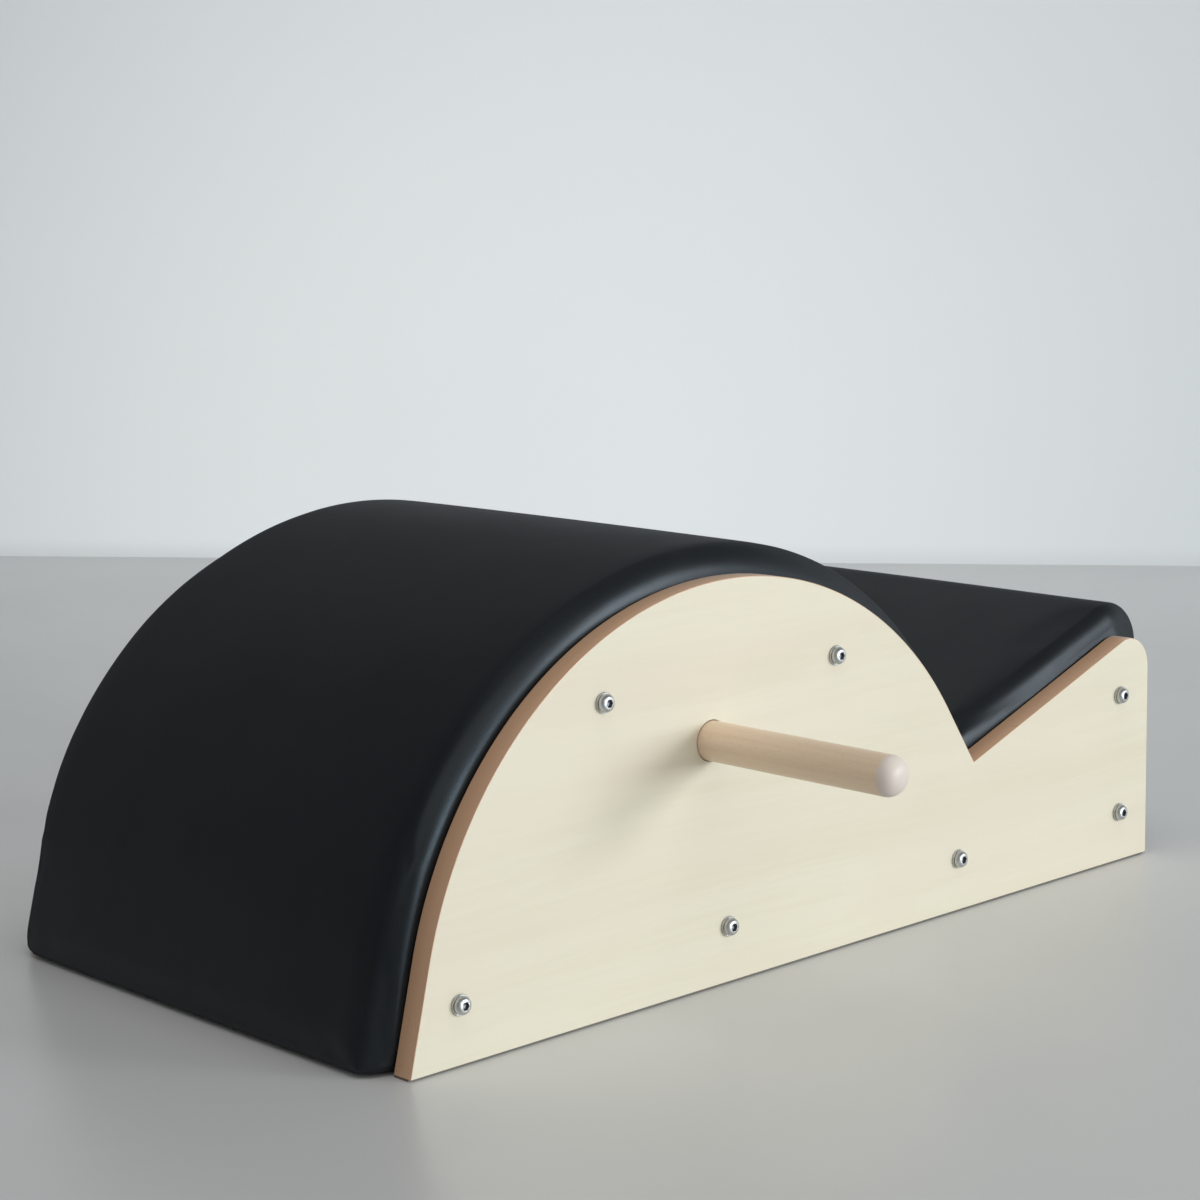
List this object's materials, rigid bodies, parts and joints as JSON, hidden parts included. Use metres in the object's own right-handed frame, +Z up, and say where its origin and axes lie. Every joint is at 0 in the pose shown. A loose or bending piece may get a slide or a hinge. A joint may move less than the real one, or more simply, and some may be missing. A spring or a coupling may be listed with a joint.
{
  "type": "spine corrector",
  "caption": "Padded barrel arch and sloping padded step held between flat wooden side panels, with a pull-out round handle peg on each side, for back stretching and core exercise.",
  "frame": {"origin": "middle of the footprint, on the floor", "axes": "+Z up, +X from the barrel towards the step, +Y across the apparatus towards its left side panel"},
  "size_m": [0.8786, 0.834, 0.3299],
  "materials": {
    "maple_board": "satin laminate with a faint straight grain",
    "edge_band": "satin brown edge strip",
    "softwood": "planed, unfinished",
    "plywood": "unfinished plywood",
    "foam": "cut foam",
    "black_vinyl": "smooth satin vinyl",
    "beech": "sanded and oiled",
    "zinc_steel": "bright zinc plate"
  },
  "bodies": {
    "frame": {"side_panel_left": "maple_board", "side_panel_right": "maple_board", "barrel_edge_band_left": "edge_band", "barrel_edge_band_right": "edge_band", "step_edge_band_left": "edge_band", "step_edge_band_right": "edge_band", "foot_rail": "softwood", "centre_rail": "softwood", "valley_rail": "softwood", "valley_ledger": "softwood", "crown_outer_rail": "softwood", "crown_inner_rail": "softwood", "end_rail_lower": "softwood", "end_rail_upper": "softwood", "socket_block_left": "softwood", "socket_block_right": "softwood", "barrel_shell": "plywood", "seat_board": "plywood", "end_board": "plywood", "barrel_foam": "foam", "seat_foam": "foam", "barrel_cover": "black_vinyl", "seat_cover": "black_vinyl", "bolt_left_foot": "zinc_steel", "bolt_left_centre": "zinc_steel", "bolt_left_valley": "zinc_steel", "bolt_left_crown_outer": "zinc_steel", "bolt_left_crown_inner": "zinc_steel", "bolt_left_end_low": "zinc_steel", "bolt_left_end_high": "zinc_steel", "bolt_right_foot": "zinc_steel", "bolt_right_centre": "zinc_steel", "bolt_right_valley": "zinc_steel", "bolt_right_crown_outer": "zinc_steel", "bolt_right_crown_inner": "zinc_steel", "bolt_right_end_low": "zinc_steel", "bolt_right_end_high": "zinc_steel", "washer_left_foot": "zinc_steel", "washer_left_centre": "zinc_steel", "washer_left_valley": "zinc_steel", "washer_left_crown_outer": "zinc_steel", "washer_left_crown_inner": "zinc_steel", "washer_left_end_low": "zinc_steel", "washer_left_end_high": "zinc_steel", "washer_right_foot": "zinc_steel", "washer_right_centre": "zinc_steel", "washer_right_valley": "zinc_steel", "washer_right_crown_outer": "zinc_steel", "washer_right_crown_inner": "zinc_steel", "washer_right_end_low": "zinc_steel", "washer_right_end_high": "zinc_steel"},
    "left_peg": {"handle_left": "beech"},
    "right_peg": {"handle_right": "beech"}
  },
  "joints": [
    {"name": "handle_left_pull", "type": "slide", "parent": "frame", "child": "left_peg", "axis": [0, 1, 0], "range_m": [0, 0.06]},
    {"name": "handle_right_pull", "type": "slide", "parent": "frame", "child": "right_peg", "axis": [0, -1, 0], "range_m": [0, 0.06]}
  ]
}
